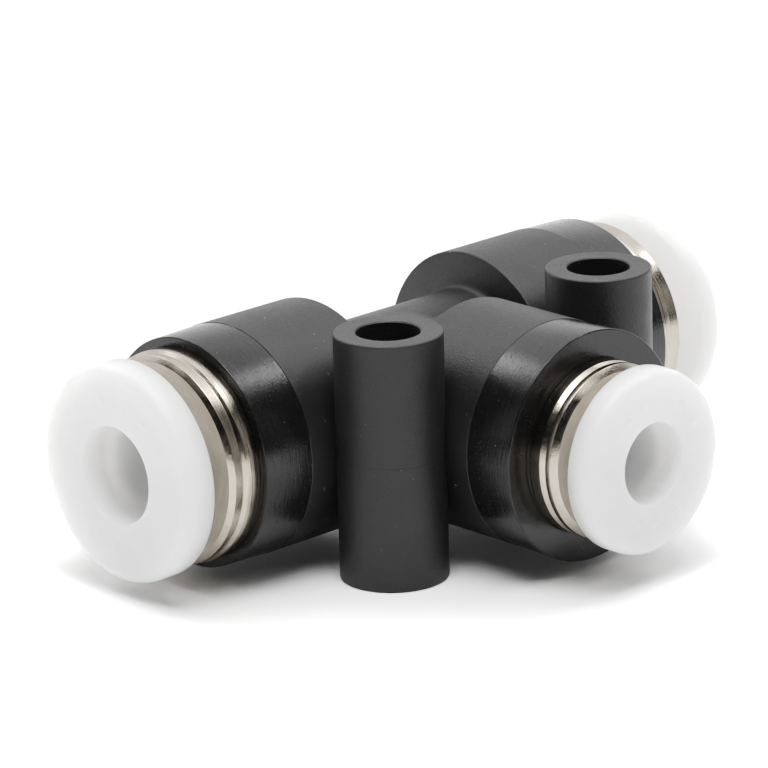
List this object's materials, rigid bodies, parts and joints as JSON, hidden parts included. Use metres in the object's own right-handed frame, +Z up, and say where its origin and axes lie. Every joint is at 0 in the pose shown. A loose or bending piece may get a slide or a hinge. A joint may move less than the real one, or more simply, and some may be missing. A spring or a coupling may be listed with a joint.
{
  "type": "push to connect fitting",
  "caption": "Push-in union tee for pneumatic tube: moulded body with mounting bosses, metal guide rings and white release rings that press in.",
  "frame": {"origin": "on the plane that the two bosses stand on, under the middle of the whole fitting's box", "axes": "+X along the run towards the right-hand port, -Y out of the branch port, +Z up along the bosses' screw holes"},
  "size_m": [0.038, 0.0244, 0.0127],
  "materials": {
    "body": "black moulded polyester, fine spark-eroded texture, smoother bright bands at the port ends",
    "release_ring": "white acetal, satin, slightly translucent",
    "guide_ring": "bright nickel plate over turned brass",
    "lock_claws": "stamped stainless spring sheet",
    "back_ring": "turned brass",
    "seal": "moulded nitrile rubber"
  },
  "bodies": {
    "fitting_body": {"tee_body": "body", "run_left_guide_ring": "guide_ring", "run_left_lock_claws": "lock_claws", "run_left_back_ring": "back_ring", "run_left_seal": "seal", "run_right_guide_ring": "guide_ring", "run_right_lock_claws": "lock_claws", "run_right_back_ring": "back_ring", "run_right_seal": "seal", "branch_guide_ring": "guide_ring", "branch_lock_claws": "lock_claws", "branch_back_ring": "back_ring", "branch_seal": "seal"},
    "run_left_button": {"run_left_release_ring": "release_ring"},
    "run_right_button": {"run_right_release_ring": "release_ring"},
    "branch_button": {"branch_release_ring": "release_ring"}
  },
  "joints": [
    {"name": "run_left_press", "type": "slide", "parent": "fitting_body", "child": "run_left_button", "axis": [1, 0, 0], "range_m": [0, 0.001], "stiffness_N_per_m": 900},
    {"name": "run_right_press", "type": "slide", "parent": "fitting_body", "child": "run_right_button", "axis": [-1, 0, 0], "range_m": [0, 0.001], "stiffness_N_per_m": 900},
    {"name": "branch_press", "type": "slide", "parent": "fitting_body", "child": "branch_button", "axis": [0, 1, 0], "range_m": [0, 0.001], "stiffness_N_per_m": 900}
  ]
}
